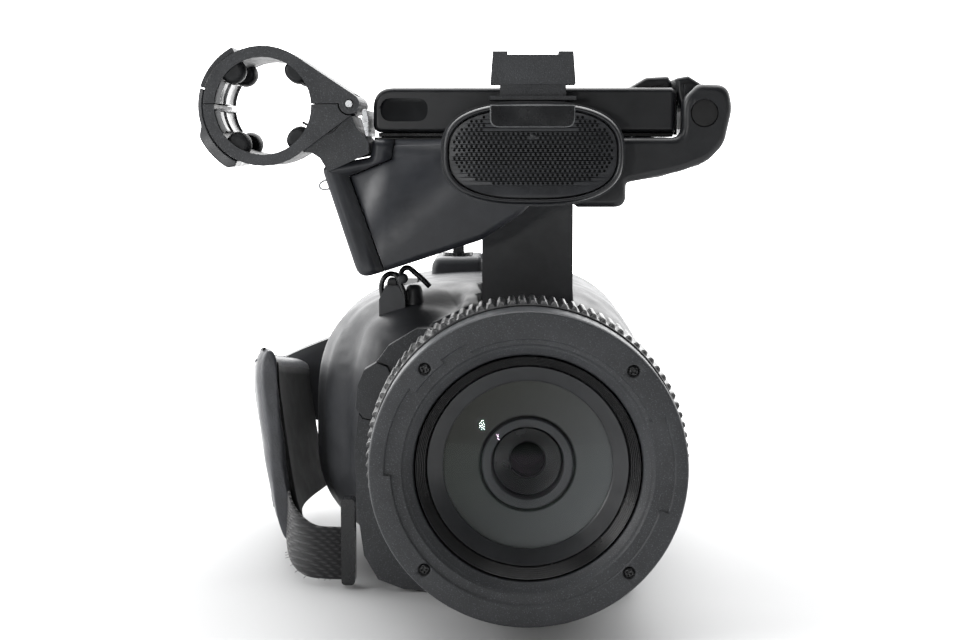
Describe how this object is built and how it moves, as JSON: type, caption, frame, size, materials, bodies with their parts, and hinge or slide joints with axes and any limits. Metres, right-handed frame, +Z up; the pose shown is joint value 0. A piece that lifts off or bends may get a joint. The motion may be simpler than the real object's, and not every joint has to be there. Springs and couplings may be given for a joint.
{
  "type": "camcorder",
  "caption": "Handheld camcorder with a ringed zoom lens, top handle with microphone and clamp, folding screen, hand strap, viewfinder and battery.",
  "frame": {"origin": "centre of the base plate's underside, on the surface that the camera stands on", "axes": "+X to the right when facing the lens, +Y towards the back of the camera, +Z up"},
  "size_m": [0.1812, 0.3073, 0.1913],
  "materials": {
    "body_shell": "fine matte black plastic",
    "rough_black": "charcoal black plastic with a fine grain",
    "satin_black": "satin black plastic",
    "anchor": "matte black plastic",
    "gloss_black": "smooth black plastic",
    "ring_rubber": "ribbed black rubber",
    "lens_black": "anodised black metal",
    "lens_glass": "coated lens glass",
    "screen": "dark screen glass",
    "steel": "plain steel",
    "grille": "black perforated steel",
    "circuit_board": "green circuit board",
    "record_red": "red plastic",
    "strap_leather": "grained black synthetic leather",
    "webbing": "woven black webbing"
  },
  "bodies": {
    "camera": {"left_housing": "body_shell", "right_housing": "body_shell", "front_bezel": "rough_black", "bezel_tab": "rough_black", "base_plate": "steel", "rear_cover": "body_shell", "main_board": "circuit_board", "sensor_block": "lens_black", "front_ring": "rough_black", "filter_ring": "lens_black", "front_element": "lens_glass", "lens_barrel": "lens_black", "inner_barrel": "lens_black", "inner_element": "lens_glass", "handle_post": "body_shell", "handle_bar": "body_shell", "mic_rim": "satin_black", "mic_grille": "grille", "mic_housing": "rough_black", "mic_capsules": "steel", "shoe_mount": "rough_black", "lcd_arm": "satin_black", "lcd_hinge_pin": "steel", "xlr_housing": "satin_black", "xlr_cover": "satin_black", "xlr_jack_1": "steel", "xlr_jack_2": "steel", "clamp_lower": "rough_black", "clamp_pin": "steel", "strap_lug": "anchor", "strap_ring": "steel", "strap_pad": "strap_leather", "strap_webbing": "webbing", "strap_bracket": "satin_black", "strap_anchor": "anchor", "control_panel": "satin_black", "finder_bracket": "satin_black", "finder_pin": "steel"},
    "focus_ring": {"focus_ring": "ring_rubber"},
    "zoom_ring": {"zoom_ring": "ring_rubber"},
    "iris_ring": {"iris_ring": "ring_rubber"},
    "lcd_hinge_block": {"lcd_hinge_block": "satin_black"},
    "lcd_panel": {"lcd_back": "satin_black", "lcd_frame": "satin_black", "lcd_screen": "screen"},
    "clamp_upper": {"clamp_upper": "rough_black"},
    "clamp_latch": {"clamp_latch": "rough_black"},
    "record_button": {"record_button": "record_red"},
    "handle_record_button": {"handle_record_button": "record_red"},
    "handle_zoom_rocker": {"handle_zoom_rocker": "gloss_black"},
    "grip_zoom_rocker": {"grip_zoom_rocker": "gloss_black"},
    "mode_dial": {"mode_dial": "gloss_black"},
    "menu_dial": {"menu_dial": "ring_rubber"},
    "audio_knob": {"audio_knob": "gloss_black"},
    "nd_filter_switch": {"nd_filter_switch": "gloss_black"},
    "viewfinder": {"viewfinder": "satin_black", "eyecup": "ring_rubber"},
    "battery": {"battery": "satin_black"},
    "battery_release": {"battery_release": "gloss_black"},
    "media_door": {"media_door": "gloss_black"}
  },
  "joints": [
    {"name": "focus_turn", "type": "hinge", "parent": "camera", "child": "focus_ring", "pos_m": [0, -0.126, 0.056], "axis": [0, 1, 0], "continuous": true},
    {"name": "zoom_turn", "type": "hinge", "parent": "camera", "child": "zoom_ring", "pos_m": [0, -0.1065, 0.056], "axis": [0, 1, 0], "range_deg": [-45, 45]},
    {"name": "iris_turn", "type": "hinge", "parent": "camera", "child": "iris_ring", "pos_m": [0, -0.094, 0.056], "axis": [0, 1, 0], "continuous": true},
    {"name": "lcd_swing", "type": "hinge", "parent": "camera", "child": "lcd_hinge_block", "pos_m": [0.0599, -0.065, 0.1699], "axis": [0, 1, 0], "range_deg": [0, 180]},
    {"name": "lcd_twist", "type": "hinge", "parent": "lcd_hinge_block", "child": "lcd_panel", "pos_m": [0.057, -0.065, 0.1694], "axis": [1, 0, 0], "range_deg": [0, 90]},
    {"name": "clamp_open", "type": "hinge", "parent": "camera", "child": "clamp_upper", "pos_m": [-0.0596, -0.086, 0.1719], "axis": [0, 1, 0], "range_deg": [0, 90]},
    {"name": "latch_open", "type": "hinge", "parent": "camera", "child": "clamp_latch", "pos_m": [-0.0984, -0.086, 0.1513], "axis": [0, -1, 0], "range_deg": [0, 40]},
    {"name": "record_press", "type": "slide", "parent": "camera", "child": "record_button", "axis": [0, -1, 0], "range_m": [0, 0.0015], "stiffness_N_per_m": 600},
    {"name": "handle_record_press", "type": "slide", "parent": "camera", "child": "handle_record_button", "axis": [0, 0, -1], "range_m": [0, 0.0012], "stiffness_N_per_m": 600},
    {"name": "handle_zoom_rock", "type": "hinge", "parent": "camera", "child": "handle_zoom_rocker", "pos_m": [0.0009, 0.012, 0.1675], "axis": [1, 0, 0], "range_deg": [-4, 4], "stiffness_Nm_per_rad": 0.1},
    {"name": "grip_zoom_rock", "type": "hinge", "parent": "camera", "child": "grip_zoom_rocker", "pos_m": [-0.046, -0.012, 0.096], "axis": [1, 0, 0], "range_deg": [-3, 3], "stiffness_Nm_per_rad": 0.15},
    {"name": "mode_dial_turn", "type": "hinge", "parent": "camera", "child": "mode_dial", "pos_m": [-0.026, 0.02, 0.1145], "axis": [0, 0, 1], "range_deg": [-60, 60]},
    {"name": "menu_dial_turn", "type": "hinge", "parent": "camera", "child": "menu_dial", "pos_m": [0.0526, 0.026, 0.062], "axis": [1, 0, 0], "continuous": true},
    {"name": "audio_knob_turn", "type": "hinge", "parent": "camera", "child": "audio_knob", "pos_m": [0.0528, -0.01, 0.062], "axis": [1, 0, 0], "range_deg": [0, 270]},
    {"name": "nd_filter_slide", "type": "slide", "parent": "camera", "child": "nd_filter_switch", "axis": [0, 1, 0], "range_m": [0, 0.006]},
    {"name": "finder_tilt", "type": "hinge", "parent": "camera", "child": "viewfinder", "pos_m": [0, 0.086, 0.152], "axis": [1, 0, 0], "range_deg": [0, 60]},
    {"name": "battery_slide", "type": "slide", "parent": "camera", "child": "battery", "axis": [0, 0, 1], "range_m": [0, 0.012]},
    {"name": "battery_release_slide", "type": "slide", "parent": "camera", "child": "battery_release", "axis": [-1, 0, 0], "range_m": [0, 0.0035], "stiffness_N_per_m": 400},
    {"name": "media_door_swing", "type": "hinge", "parent": "camera", "child": "media_door", "pos_m": [0.0402, 0.0906, 0.049], "axis": [0, 0, -1], "range_deg": [0, 100]}
  ],
  "couplings": [
    {"joint": "lcd_twist", "follows": "lcd_swing", "ratio": 0.5}
  ]
}
